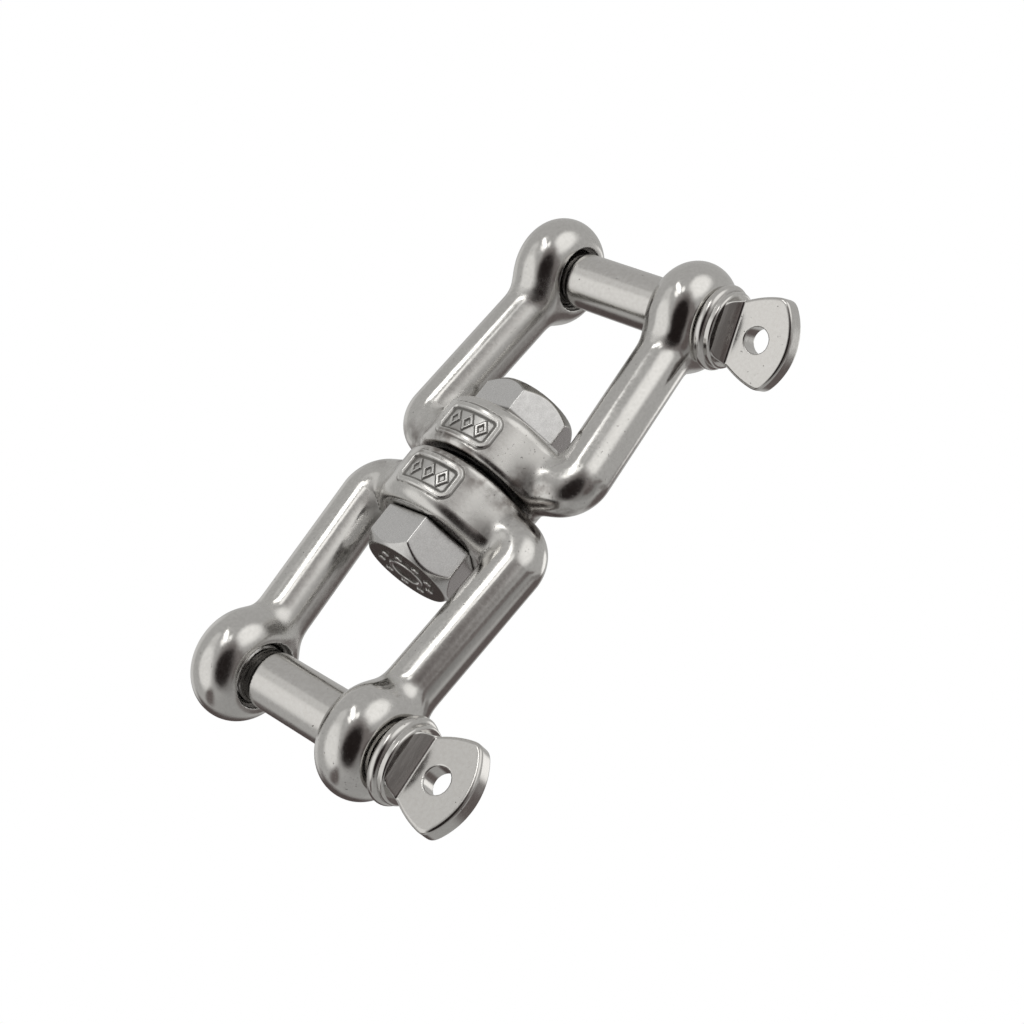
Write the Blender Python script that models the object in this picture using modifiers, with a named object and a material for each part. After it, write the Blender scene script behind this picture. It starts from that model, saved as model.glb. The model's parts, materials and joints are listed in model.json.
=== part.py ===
"""Anchor swivel: two forged stainless jaws that turn on one swivel bolt, each closed by a clevis pin.

World frame in metres: +Z runs up the swivel axis, +X runs along both clevis pins towards their tabs,
and the origin is the middle of the upper clevis pin. A jaw is drawn in its own frame, with z = 0 on the
swivel's mid-plane and its ears at +z, and the lower jaw is the same forging turned half a turn about X.
A clevis pin is drawn along its own +X, with its origin in the middle of the jaw and its tab in XY.
"""

import math

import bmesh
import bpy
from mathutils import Matrix, Vector

MM = 0.001
GAP = 0.3 * MM
WELD = 0.002 * MM

# Driving sizes of the jaw.
PIN_DIAMETER = 8.0 * MM
JAW_REACH = 36.5 * MM
EAR_OFFSET = 12.0 * MM
EAR_THICKNESS = 8.1 * MM
EAR_RING_RADIUS = 3.4 * MM
EAR_ROUND_RADIUS = 4.5 * MM
BAR_DIAMETER = 7.7 * MM
LEG_OFFSET_AT_EAR = 11.6 * MM
LEG_OFFSET_AT_BAR = 13.6 * MM
BAR_HEIGHT = 4.8 * MM
CORNER_BEND_RADIUS = 4.1 * MM
HUB_RADIUS = 9.7 * MM
HUB_RIM_ROUND = 1.8 * MM
HUB_TOP = 9.0 * MM
HUB_BOTTOM = 0.6 * MM
COUNTERSINK_DIAMETER = 9.5 * MM
COUNTERSINK_DEPTH = 0.6 * MM

# The swivel bolt, its nut and the washer between the hubs.
HEX_ACROSS_FLATS = 13.0 * MM
HEX_CHAMFER_ANGLE = math.radians(50)
HEX_CHAMFER_RADIUS = 6.2 * MM
HEAD_HEIGHT = 5.7 * MM
NUT_HEIGHT = 5.3 * MM
BOLT_END_PROUD = 0.4 * MM
BOLT_END_CHAMFER = 0.8 * MM
HEAD_TURN = math.radians(-20)
NUT_TURN = math.radians(18)
WASHER_DIAMETER = 15.0 * MM
WASHER_THICKNESS = 0.6 * MM

# The clevis pin, along its own x from the middle of the jaw.
FLANGE_DIAMETER = 12.0 * MM
FLANGE_THICKNESS = 1.5 * MM
FLANGE_ROUND = 0.5 * MM
STEP_DIAMETER = 10.8 * MM
STEP_THICKNESS = 0.9 * MM
TAB_THICKNESS = 3.0 * MM
TAB_TIP = 28.5 * MM
TAB_NECK_HALF_WIDTH = 4.4 * MM
TAB_MOST_HALF_WIDTH = 6.4 * MM
TAB_CORNER_RADIUS = 1.8 * MM
TAB_END_RADIUS = 9.4 * MM
TAB_ROOT_RADIUS = 3.9 * MM
TAB_ROUND_ROOT = 2.0 * MM
TAB_INSET = 0.05 * MM
TAB_HOLE_CENTRE = 23.5 * MM
TAB_HOLE_DIAMETER = 3.7 * MM
PIN_END_CHAMFER = 0.8 * MM

# How far each pin is turned about +X from having its tab in the XY plane.
UPPER_TAB_ROLL = math.radians(125)
LOWER_TAB_ROLL = math.radians(96)

# The lower pin is most of a turn short of home.
LOWER_PIN_OUT = 0.8 * MM

# Facets round a full circle.
EAR_SEGMENTS = 32
BAR_SEGMENTS = 20
HUB_SEGMENTS = 48
ROUND_SEGMENTS = 32

STEEL = (0.56, 0.55, 0.53, 1.0)
DARK_STEEL = (0.30, 0.30, 0.29, 1.0)

# Turns a shape drawn about Z so that it lies along X.
ALONG_X = Matrix.Rotation(math.pi / 2, 4, "Y")


def make_material(name, colour, roughness):
    material = bpy.data.materials.new(name)
    material.use_nodes = True
    shader = material.node_tree.nodes["Principled BSDF"]
    shader.inputs["Base Color"].default_value = colour
    shader.inputs["Metallic"].default_value = 1.0
    shader.inputs["Roughness"].default_value = roughness
    return material


def arc(centre, radius, start, end, steps):
    """Points (a, b) on an arc about centre, from the angle start to the angle end."""
    angles = [start + (end - start) * i / steps for i in range(steps + 1)]
    return [(centre[0] + radius * math.cos(t), centre[1] + radius * math.sin(t)) for t in angles]


def add_object(name, mesh, collection):
    made = bpy.data.objects.new(name, mesh)
    collection.objects.link(made)
    return made


def cleaned(mesh):
    """Welds points that fall together, and splits every face into triangles."""
    shape = bmesh.new()
    shape.from_mesh(mesh)
    bmesh.ops.remove_doubles(shape, verts=shape.verts, dist=WELD)
    bmesh.ops.dissolve_degenerate(shape, edges=shape.edges, dist=WELD)
    bmesh.ops.triangulate(shape, faces=shape.faces)
    bmesh.ops.recalc_face_normals(shape, faces=shape.faces)
    shape.to_mesh(mesh)
    shape.free()
    return mesh


def realised(source, name, collection):
    """A plain mesh object made from the source, with its modifiers applied. The source is removed."""
    bpy.context.view_layer.update()
    graph = bpy.context.evaluated_depsgraph_get()
    mesh = bpy.data.meshes.new_from_object(source.evaluated_get(graph))
    mesh.transform(source.matrix_world)
    bpy.data.objects.remove(source)
    return add_object(name, cleaned(mesh), collection)


def turned(name, profile, segments, collection):
    """The profile's points (radius, height), listed down the outer side, turned about Z."""
    closed = profile[0][0] > 0
    mesh = bpy.data.meshes.new(name)
    points = [(radius, 0, height) for radius, height in profile]
    edges = [(i, i + 1) for i in range(len(points) - 1)]
    if closed:
        edges.append((len(points) - 1, 0))
    mesh.from_pydata(points, edges, [])
    made = add_object(name + "_profile", mesh, collection)
    screw = made.modifiers.new("Turn", "SCREW")
    screw.steps = segments
    screw.render_steps = segments
    screw.use_merge_vertices = True
    screw.merge_threshold = 0.00001
    return realised(made, name, collection)


def extruded(name, outline, thickness, collection):
    """A flat outline in XY, extruded to its thickness about z = 0."""
    curve = bpy.data.curves.new(name, "CURVE")
    curve.dimensions = "2D"
    curve.fill_mode = "BOTH"
    curve.extrude = thickness / 2
    spline = curve.splines.new("POLY")
    spline.points.add(len(outline) - 1)
    for point, (x, y) in zip(spline.points, outline):
        point.co = (x, y, 0, 1)
    spline.use_cyclic_u = True
    return realised(add_object(name + "_outline", curve, collection), name, collection)


def rod(name, points, diameter, segments, collection):
    curve = bpy.data.curves.new(name, "CURVE")
    curve.dimensions = "3D"
    curve.bevel_depth = diameter / 2
    curve.bevel_resolution = segments // 4 - 1
    curve.use_fill_caps = True
    spline = curve.splines.new("POLY")
    spline.points.add(len(points) - 1)
    for point, place in zip(spline.points, points):
        point.co = (*place, 1)
    return realised(add_object(name + "_path", curve, collection), name, collection)


def combine(target, other, operation):
    """Applies a Boolean of other to target, and removes other."""
    modifier = target.modifiers.new(other.name, "BOOLEAN")
    modifier.operation = operation
    modifier.object = other
    bpy.context.view_layer.update()
    graph = bpy.context.evaluated_depsgraph_get()
    mesh = bpy.data.meshes.new_from_object(target.evaluated_get(graph))
    target.modifiers.remove(modifier)
    target.data = cleaned(mesh)
    bpy.data.objects.remove(other)


def hexagonal(name, height, turn, collection):
    """A hexagonal prism standing on z = 0, with its upper corners chamfered."""
    shape = bmesh.new()
    bmesh.ops.create_cone(
        shape,
        cap_ends=True,
        segments=6,
        radius1=HEX_ACROSS_FLATS / math.sqrt(3),
        radius2=HEX_ACROSS_FLATS / math.sqrt(3),
        depth=height,
        matrix=Matrix.Rotation(turn, 4, "Z") @ Matrix.Translation((0, 0, height / 2)),
    )
    mesh = bpy.data.meshes.new(name)
    shape.to_mesh(mesh)
    shape.free()
    prism = add_object(name, mesh, collection)
    reach = 0.6 * HEX_ACROSS_FLATS
    drop = (reach - HEX_CHAMFER_RADIUS) * math.tan(HEX_CHAMFER_ANGLE)
    profile = [(0, height), (HEX_CHAMFER_RADIUS, height), (reach, height - drop), (reach, -MM), (0, -MM)]
    combine(prism, turned(name + "_chamfer", profile, ROUND_SEGMENTS, collection), "INTERSECT")
    return prism


def bore(target, diameter, start, end, collection):
    """Cuts a round hole along the line from start to end."""
    along = Vector(end) - Vector(start)
    profile = [(0, along.length), (diameter / 2, along.length), (diameter / 2, 0), (0, 0)]
    cutter = turned("bore", profile, ROUND_SEGMENTS, collection)
    cutter.data.transform(Vector((0, 0, 1)).rotation_difference(along).to_matrix().to_4x4())
    cutter.data.transform(Matrix.Translation(start))
    combine(target, cutter, "DIFFERENCE")


def ear(name, side, collection):
    """A thick disc with a round edge and flat faces, at the end of one leg."""
    half = EAR_THICKNESS / 2
    edge = math.asin(half / EAR_ROUND_RADIUS)
    rim = arc((EAR_RING_RADIUS, 0), EAR_ROUND_RADIUS, edge, -edge, 8)
    made = turned(name, [(0, half), *rim, (0, -half)], EAR_SEGMENTS, collection)
    made.data.transform(Matrix.Translation((side * EAR_OFFSET, 0, JAW_REACH)) @ ALONG_X)
    return made


def bow_path():
    """The centre line of the round bar, from inside one ear, through the hub, to inside the other."""
    corner = (LEG_OFFSET_AT_BAR - CORNER_BEND_RADIUS, BAR_HEIGHT + CORNER_BEND_RADIUS)
    bend = arc(corner, CORNER_BEND_RADIUS, 0, -math.pi / 2, 6)
    right = [(LEG_OFFSET_AT_EAR, JAW_REACH - EAR_RING_RADIUS), *bend]
    left = [(-x, z) for x, z in reversed(right)]
    return [(x, 0, z) for x, z in right + left]


def hub(name, collection):
    low = HUB_BOTTOM + HUB_RIM_ROUND
    high = HUB_TOP - HUB_RIM_ROUND
    shoulder = HUB_RADIUS - HUB_RIM_ROUND
    profile = [(0, HUB_TOP)]
    profile += arc((shoulder, high), HUB_RIM_ROUND, math.pi / 2, 0, 4)
    profile += arc((shoulder, low), HUB_RIM_ROUND, 0, -math.pi / 2, 4)
    profile += [(0, HUB_BOTTOM)]
    return turned(name, profile, HUB_SEGMENTS, collection)


def make_jaw(collection):
    """The forging: a U of round bar, an ear on each leg, and a thick hub on the swivel axis."""
    jaw = rod("jaw", bow_path(), BAR_DIAMETER, BAR_SEGMENTS, collection)
    for side in (-1, 1):
        combine(jaw, ear("ear", side, collection), "UNION")
    combine(jaw, hub("hub", collection), "UNION")
    hole = PIN_DIAMETER + 2 * GAP
    outside = EAR_OFFSET + EAR_THICKNESS
    bore(jaw, hole, (-outside, 0, JAW_REACH), (outside, 0, JAW_REACH), collection)
    bore(jaw, hole, (0, 0, -HUB_TOP), (0, 0, 2 * HUB_TOP), collection)
    far_face = -EAR_OFFSET + EAR_THICKNESS / 2
    countersink = ((far_face - COUNTERSINK_DEPTH, 0, JAW_REACH), (far_face + MM, 0, JAW_REACH))
    bore(jaw, COUNTERSINK_DIAMETER, *countersink, collection)
    return jaw


def make_bolt(collection):
    """The hexagon head and plain shank, with z = 0 on the head's bearing face and the shank at +z."""
    length = 2 * HUB_TOP + 3 * GAP + NUT_HEIGHT + BOLT_END_PROUD
    radius = PIN_DIAMETER / 2
    profile = [
        (0, length),
        (radius - BOLT_END_CHAMFER, length),
        (radius, length - BOLT_END_CHAMFER),
        (radius, -MM),
        (0, -MM),
    ]
    bolt = turned("swivel_bolt", profile, ROUND_SEGMENTS, collection)
    head = hexagonal("head", HEAD_HEIGHT, HEAD_TURN, collection)
    head.data.transform(Matrix.Rotation(math.pi, 4, "X"))
    combine(bolt, head, "UNION")
    return bolt


def make_nut(collection):
    """The nut on the bolt's end, standing on z = 0."""
    nut = hexagonal("swivel_nut", NUT_HEIGHT, NUT_TURN, collection)
    bore(nut, PIN_DIAMETER + 2 * GAP, (0, 0, -MM), (0, 0, NUT_HEIGHT + MM), collection)
    return nut


def make_washer(collection):
    inner = PIN_DIAMETER / 2 + GAP
    outer = WASHER_DIAMETER / 2
    half = WASHER_THICKNESS / 2
    profile = [(outer, half), (outer, -half), (inner, -half), (inner, half)]
    return turned("thrust_washer", profile, ROUND_SEGMENTS, collection)


def tab_outline(root):
    """The tab seen square on, from x = root to its tip: swelling flanks and an arched end."""
    end_centre = TAB_TIP - TAB_END_RADIUS
    corner_reach = TAB_END_RADIUS - TAB_CORNER_RADIUS
    corner_y = TAB_MOST_HALF_WIDTH - TAB_CORNER_RADIUS
    turn = math.asin(corner_y / corner_reach)
    corner = (end_centre + corner_reach * math.cos(turn), corner_y)
    flank = []
    for i in range(5):
        along = i / 5
        x = root + (corner[0] - root) * along
        swell = math.sin(along * math.pi / 2)
        flank.append((x, TAB_NECK_HALF_WIDTH + (TAB_MOST_HALF_WIDTH - TAB_NECK_HALF_WIDTH) * swell))
    upper = flank + arc(corner, TAB_CORNER_RADIUS, math.pi / 2, turn, 5)
    upper += arc((end_centre, 0), TAB_END_RADIUS, turn, 0, 5)[1:]
    lower = [(x, -y) for x, y in reversed(upper[:-1])]
    return upper + lower


def root_outline(start, root):
    """The tab seen edge on: it leaves the collar at full depth and thins along a concave radius."""
    half = TAB_THICKNESS / 2
    deep = half + TAB_ROOT_RADIUS
    concave = arc((root + TAB_ROOT_RADIUS, deep), TAB_ROOT_RADIUS, math.pi, 1.5 * math.pi, 6)
    upper = [(start, deep), *concave, (TAB_TIP + MM, half)]
    return upper + [(x, -y) for x, y in reversed(upper)]


def make_clevis_pin(name, collection):
    """One forging: plain shank, collar in two steps, and a flat tab with a hole for mousing wire."""
    seat = EAR_OFFSET + EAR_THICKNESS / 2 + GAP
    flange_end = seat + FLANGE_THICKNESS
    step_end = flange_end + STEP_THICKNESS
    tip = EAR_OFFSET + EAR_THICKNESS / 2
    shank = PIN_DIAMETER / 2
    flange = FLANGE_DIAMETER / 2
    step = STEP_DIAMETER / 2
    profile = [(0, step_end), (step, step_end), (step, flange_end)]
    profile += arc((flange - FLANGE_ROUND, flange_end - FLANGE_ROUND), FLANGE_ROUND, math.pi / 2, 0, 3)
    profile += arc((flange - FLANGE_ROUND, seat + FLANGE_ROUND), FLANGE_ROUND, 0, -math.pi / 2, 3)
    profile += [(shank, seat), (shank, PIN_END_CHAMFER - tip)]
    profile += [(shank - PIN_END_CHAMFER, -tip), (0, -tip)]
    pin = turned(name, profile, ROUND_SEGMENTS, collection)
    pin.data.transform(ALONG_X)
    start = flange_end + STEP_THICKNESS / 2
    tab = extruded("tab", tab_outline(start), 2 * step, collection)
    side = extruded("tab_side", root_outline(start, step_end), 4 * TAB_MOST_HALF_WIDTH, collection)
    side.data.transform(Matrix.Rotation(math.pi / 2, 4, "X"))
    combine(tab, side, "INTERSECT")
    inside = step - TAB_INSET
    flare_start = step_end + TAB_ROUND_ROOT
    wide = 2 * TAB_TIP
    envelope = [(0, wide), (wide, wide), (inside, flare_start), (inside, 0), (0, 0)]
    round_root = turned("tab_envelope", envelope, ROUND_SEGMENTS, collection)
    round_root.data.transform(ALONG_X)
    combine(tab, round_root, "INTERSECT")
    combine(pin, tab, "UNION")
    hole = ((TAB_HOLE_CENTRE, 0, -step), (TAB_HOLE_CENTRE, 0, step))
    bore(pin, TAB_HOLE_DIAMETER, *hole, collection)
    return pin


def finish(made, material, location, rotation=(0, 0, 0)):
    made.location = location
    made.rotation_euler = rotation
    made.data.materials.clear()
    made.data.materials.append(material)
    made.data.shade_smooth()
    made.data.set_sharp_from_angle(angle=math.radians(35))


def main():
    for old in list(bpy.data.objects):
        bpy.data.objects.remove(old)
    collection = bpy.data.collections.new("anchor_swivel")
    bpy.context.scene.collection.children.link(collection)
    polished = make_material("polished_steel", STEEL, 0.22)
    washer_steel = make_material("washer_steel", DARK_STEEL, 0.35)

    middle = Vector((0, 0, -JAW_REACH))
    upper_jaw = make_jaw(collection)
    upper_jaw.name = "upper_jaw"
    lower_jaw = add_object("lower_jaw", upper_jaw.data, collection)
    finish(upper_jaw, polished, middle)
    finish(lower_jaw, polished, middle, (math.pi, 0, 0))

    finish(make_bolt(collection), polished, middle - Vector((0, 0, HUB_TOP + GAP)))
    finish(make_nut(collection), polished, middle + Vector((0, 0, HUB_TOP + GAP)))
    finish(make_washer(collection), washer_steel, middle)

    pins = (
        ("upper_clevis_pin", (0, 0, 0), UPPER_TAB_ROLL),
        ("lower_clevis_pin", (LOWER_PIN_OUT, 0, -2 * JAW_REACH), LOWER_TAB_ROLL),
    )
    for name, place, roll in pins:
        finish(make_clevis_pin(name, collection), polished, place, (roll, 0, 0))


main()
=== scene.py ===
"""The looks of an anchor swivel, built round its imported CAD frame.

Each part is drawn as a solid field: a function that gives the distance in millimetres from a point to
the part's skin, below zero inside. skin() turns a field into a closed mesh. A jaw is drawn with z = 0 on
the swivel's mid-plane and its ears at +z. A clevis pin is drawn along its own +x from the middle of the
jaw, with its tab in the xy plane. The lower jaw is the upper one turned half a turn about x.
"""

import json
import math

import bmesh
import bpy
import numpy as np
from mathutils import Matrix, Vector


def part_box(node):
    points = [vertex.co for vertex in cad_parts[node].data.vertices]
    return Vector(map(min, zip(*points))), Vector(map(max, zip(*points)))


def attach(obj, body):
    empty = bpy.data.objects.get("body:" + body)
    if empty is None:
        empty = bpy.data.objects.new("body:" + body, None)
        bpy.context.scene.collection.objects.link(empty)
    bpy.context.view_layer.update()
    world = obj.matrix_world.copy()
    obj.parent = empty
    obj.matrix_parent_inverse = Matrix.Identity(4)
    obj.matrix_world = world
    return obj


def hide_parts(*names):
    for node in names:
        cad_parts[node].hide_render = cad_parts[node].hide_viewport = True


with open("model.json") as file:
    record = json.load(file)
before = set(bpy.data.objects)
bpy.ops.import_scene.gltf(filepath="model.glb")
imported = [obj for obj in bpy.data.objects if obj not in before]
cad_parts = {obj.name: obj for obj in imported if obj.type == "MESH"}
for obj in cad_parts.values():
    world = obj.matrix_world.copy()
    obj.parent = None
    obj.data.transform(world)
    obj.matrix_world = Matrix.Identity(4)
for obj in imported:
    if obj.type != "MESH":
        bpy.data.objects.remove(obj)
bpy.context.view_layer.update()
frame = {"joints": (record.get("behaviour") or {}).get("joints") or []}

MM = 0.001

# Places that come from the frame, in millimetres. JAW_REACH is from the swivel's mid-plane to a pin.
JAW_REACH = -frame["joints"][0]["pos_m"][2] / MM
EAR_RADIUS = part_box("upper_jaw")[1].z / MM
EAR_OUTSIDE = -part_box("upper_clevis_pin")[0].x / MM
NUT_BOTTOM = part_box("swivel_nut")[0].z / MM + JAW_REACH
NUT_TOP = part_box("swivel_nut")[1].z / MM + JAW_REACH
BOLT_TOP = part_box("swivel_bolt")[1].z / MM + JAW_REACH
HEAD_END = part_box("swivel_bolt")[0].z / MM + JAW_REACH
WASHER_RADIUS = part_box("thrust_washer")[1].x / MM
WASHER_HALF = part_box("thrust_washer")[1].z / MM + JAW_REACH
TAB_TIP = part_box("upper_clevis_pin")[1].x / MM
LOWER_PIN_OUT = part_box("lower_clevis_pin")[1].x / MM - TAB_TIP

# The jaw's own sizes, in millimetres.
EAR_OFFSET = 12.0
EAR_ROUND = 4.5
EAR_HALF = EAR_OUTSIDE - EAR_OFFSET
BAR_RADIUS = 3.85
LEG_AT_EAR = 11.6
LEG_AT_BAR = 13.6
BAR_HEIGHT = 4.8
BEND_RADIUS = 3.1
HUB_RADIUS = 9.7
HUB_TOP = 9.0
HUB_BOTTOM = 0.36
HUB_ROUND = 1.9
HUB_ROUND_AT_GAP = 1.05
HUB_FILLET = 3.8
FORGED_FILLET = 2.3
FORGED_EDGE = 0.5
PIN_RADIUS = 4.0
HOLE_RADIUS = 4.15
HOLE_EDGE = 0.15
HOLE_SINK = 0.55
HOLE_MOUTH = 0.25
HOLE_THREAD_START = 8.3
HOLE_THREAD_FULL = 9.0
HOLE_THREAD_SHARE = 0.35
BORE_EDGE = 0.3
SEAT_RADIUS = 7.8

# The sunken panel on the hub's wall.
PANEL_TURN = math.radians(0.5)
PANEL_HEIGHT = 4.3
PANEL_HALF_LENGTH = 4.3
PANEL_HALF_HEIGHT = 2.25
PANEL_CORNER = 1.1
PANEL_RIM = 0.45
PANEL_RAISED = 0.22
PANEL_SUNK = 0.26
PANEL_BACK = HUB_RADIUS * 0.75
LOZENGE_SPACING = 2.35
LOZENGE_REACH = 0.9
LOZENGE_SLOPES = (1.2, 0.85)
LOZENGE_LINE = (0.14, 0.38)

# Metric threads on the clevis pins and the swivel bolt, and how soon they run out.
THREAD_PITCH = 1.25
THREAD_DEPTH = 0.65
THREAD_FLANK = (0.12, 0.88)
BOLT_RUNOUT = 1.2
PIN_RUNOUT = 0.8

# The rounding of a turned part's small edges.
TURNED_EDGE = 0.2

# Nut, bolt and washer.
HEX_HALF_FLATS = 6.5
HEX_REACH = HEX_HALF_FLATS * 1.17
HEX_CORNER = 0.25
HEX_EDGE = 0.18
HEX_CHAMFER_RADIUS = 6.2
HEX_CHAMFER_SLOPE = math.radians(50)
NUT_TURN = math.radians(-12)
NUT_BORE = PIN_RADIUS - 0.35
NUT_MOUTH = 0.55
NUT_MOUTH_DEPTH = 0.8
BOLT_CHAMFER = 0.7
HEAD_TURN = math.radians(-10)
HEAD_TOP = -HUB_TOP - 0.05
HEAD_RING_RADIUS = 2.4
HEAD_RING_LINE = (0.15, 0.45)
HEAD_RING_RAISED = 0.22
PIP_COUNT = 9
PIP_CIRCLE_RADIUS = 3.95
PIP_LINE = (0.35, 0.75)
PIP_RAISED = 0.25
WASHER_EDGE = 0.15

# The clevis pin, along its own x.
NECK_START = -8.9
NECK_END = -7.3
NECK_RADIUS = 3.68
NECK_SHOULDER = 0.5
PIN_CHAMFER = 0.8
FLANGE_START = 16.2
FLANGE_END = 17.85
FLANGE_RADIUS = 6.0
FLANGE_EDGE = 0.78
STEP_END = 18.75
STEP_RADIUS = 5.4
STEP_EDGE = 0.4
TAB_HALF_THICKNESS = 1.5
TAB_HALF_WIDTH = 6.5
TAB_WIDEST_AT = 26.8
TAB_NARROWING = 0.042
TAB_END_RADIUS = 9.4
TAB_CORNER = 1.2
TAB_EDGE = 0.55
TAB_BLEND = 0.5
RAMP_END = 20.0
RAMP_SLOPE = math.radians(63)
MOUSING_AT = 23.5
MOUSING_RADIUS = 1.82
UPPER_ROLL = math.radians(125)
LOWER_ROLL = math.radians(96)

# The size of the meshes' cells, in millimetres.
FINE_STEP = 0.2
JAW_STEP = 0.27
PIN_STEP = FINE_STEP


# ---- Solid fields ----


def smooth_min(a, b, blend):
    """The union of two fields, with a fillet of about the blend's size."""
    near = np.maximum(blend - np.abs(a - b), 0) / blend
    return np.minimum(a, b) - near**3 * blend / 6


def smooth_max(a, b, blend):
    """What two fields share, with a rounded edge of about the blend's size."""
    return -smooth_min(-a, -b, blend)


def rounded_both(a, b, edge):
    """What two fields share, with a round edge of exactly that radius."""
    a, b = a + edge, b + edge
    return np.hypot(np.maximum(a, 0), np.maximum(b, 0)) + np.minimum(np.maximum(a, b), 0) - edge


def ease(value, start, end):
    """0 before start, 1 after end, and smooth between them."""
    share = np.clip((value - start) / (end - start), 0, 1)
    return share * share * (3 - 2 * share)


def segment(x, z, start, end):
    """Distance in the xz plane from the line between two points."""
    dx, dz = end[0] - start[0], end[1] - start[1]
    share = np.clip(((x - start[0]) * dx + (z - start[1]) * dz) / (dx * dx + dz * dz), 0, 1)
    return np.hypot(x - start[0] - share * dx, z - start[1] - share * dz)


def thread_radius(along, around, crest):
    """The radius of a right-hand thread at a place along its axis and an angle around it."""
    turn = along / THREAD_PITCH - around / (2 * math.pi)
    wave = np.abs(turn - np.round(turn)) * 2
    return crest - THREAD_DEPTH * ease(wave, *THREAD_FLANK)


def bow(x, y, z):
    """The round bar bent into a U: straight legs, tight corners and the bar through the hub."""
    bend_x, bend_z = LEG_AT_BAR - BEND_RADIUS, BAR_HEIGHT + BEND_RADIUS
    leg = segment(x, z, (LEG_AT_EAR, JAW_REACH), (LEG_AT_BAR, bend_z))
    corner = np.abs(np.hypot(x - bend_x, z - bend_z) - BEND_RADIUS)
    in_corner = (x >= bend_x) & (z <= bend_z)
    bar = np.hypot(np.maximum(x - bend_x, 0), z - BAR_HEIGHT)
    centre_line = np.minimum(np.minimum(leg, bar), np.where(in_corner, corner, leg))
    return np.hypot(centre_line, y) - BAR_RADIUS


def ear(x, y, z):
    """A thick disc with a full round edge and ground flat faces."""
    radius = np.hypot(y, z - JAW_REACH)
    side = np.abs(x - EAR_OFFSET)
    disc = np.hypot(np.maximum(radius - (EAR_RADIUS - EAR_ROUND), 0), side) - EAR_ROUND
    return smooth_max(disc, side - EAR_HALF, 0.3)


def panel_relief(x, y, z):
    """How far the hub's wall stands out at the sunken panel, with its raised rim and raised lozenges."""
    turn = np.arctan2(x, np.abs(y)) - PANEL_TURN
    u = turn * HUB_RADIUS
    v = z - PANEL_HEIGHT
    corner_u = np.maximum(np.abs(u) - (PANEL_HALF_LENGTH - PANEL_CORNER), 0)
    corner_v = np.maximum(np.abs(v) - (PANEL_HALF_HEIGHT - PANEL_CORNER), 0)
    edge = np.hypot(corner_u, corner_v) - PANEL_CORNER
    rim = 1 - ease(np.abs(edge), PANEL_RIM * 0.4, PANEL_RIM * 1.3)
    floor = 1 - ease(edge, -PANEL_RIM * 1.6, -PANEL_RIM * 0.6)
    relief = PANEL_RAISED * rim - PANEL_SUNK * floor
    for step in (-1, 0, 1):
        u_from_middle = np.abs(u - step * LOZENGE_SPACING)
        lozenge = u_from_middle * LOZENGE_SLOPES[0] + np.abs(v) * LOZENGE_SLOPES[1]
        outline = 1 - ease(np.abs(lozenge - LOZENGE_REACH), *LOZENGE_LINE)
        relief = relief + PANEL_SUNK * outline * floor
    return relief


def on_panel(x, y, z):
    """Where the hub's panels lie, with a little of the wall round them."""
    turn = np.arctan2(x, np.abs(y)) - PANEL_TURN
    beside = np.abs(turn * HUB_RADIUS) < PANEL_HALF_LENGTH + PANEL_RIM * 1.5
    level = np.abs(z - PANEL_HEIGHT) < PANEL_HALF_HEIGHT + PANEL_RIM * 1.5
    return beside & level & (np.abs(y) > PANEL_BACK)


def hub(x, y, z):
    """The thick round hub, softer towards the nut than at the gap."""
    radius = np.hypot(x, y)
    middle = (HUB_TOP + HUB_BOTTOM) / 2
    half = (HUB_TOP - HUB_BOTTOM) / 2
    upper = rounded_both(z - middle - half, radius - HUB_RADIUS, HUB_ROUND)
    lower = rounded_both(middle - half - z, radius - HUB_RADIUS, HUB_ROUND_AT_GAP)
    return np.maximum(upper, lower) - panel_relief(x, y, z)


def pin_hole(x, y, z):
    """Below zero in the hole through both ears: plain at +x, threaded and countersunk at -x."""
    up = z - JAW_REACH
    radius = np.hypot(y, up)
    cut = PIN_RADIUS - thread_radius(x, np.arctan2(up, y), PIN_RADIUS)
    groove = THREAD_DEPTH * HOLE_THREAD_SHARE - HOLE_THREAD_SHARE * cut
    limit = HOLE_RADIUS + groove * ease(-x, HOLE_THREAD_START, HOLE_THREAD_FULL)
    inner_face = EAR_OFFSET - EAR_HALF
    sink = HOLE_SINK * (1 - ease(-x, inner_face + 0.25, inner_face + 0.9)) * (x < 0)
    from_middle = np.abs(np.abs(x) - EAR_OFFSET)
    mouth = HOLE_MOUTH * (1 - ease(from_middle, EAR_HALF, EAR_HALF - HOLE_MOUTH))
    return radius - limit - np.maximum(sink, mouth)


def jaw(x, y, z):
    """Two ears on the bow, blended into the hub, with the bolt's seat and bore and the pin's holes."""
    side = np.abs(x)
    body = smooth_min(ear(side, y, z), bow(side, y, z), FORGED_FILLET)
    body = smooth_min(body, hub(x, y, z), HUB_FILLET)
    radius = np.hypot(x, y)
    seat = np.maximum(radius - SEAT_RADIUS, HUB_TOP - z)
    body = smooth_max(body, -seat, FORGED_EDGE)
    body = smooth_max(body, HUB_BOTTOM - z, FORGED_EDGE)
    body = smooth_max(body, -pin_hole(x, y, z), HOLE_EDGE)
    return smooth_max(body, HOLE_RADIUS - radius, BORE_EDGE)


def hexagon(x, y, turn, top):
    """A hexagonal prism with its corners chamfered at the end where top rises past zero."""
    flats = None
    for i in range(3):
        angle = turn + i * math.pi / 3 + math.pi / 6
        side = np.abs(x * math.cos(angle) + y * math.sin(angle)) - HEX_HALF_FLATS
        flats = side if flats is None else smooth_max(flats, side, HEX_CORNER)
    radius = np.hypot(x, y)
    cone = (radius - HEX_CHAMFER_RADIUS) * math.sin(HEX_CHAMFER_SLOPE) + top * math.cos(HEX_CHAMFER_SLOPE)
    return smooth_max(smooth_max(flats, cone, HEX_EDGE), top, HEX_EDGE)


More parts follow.
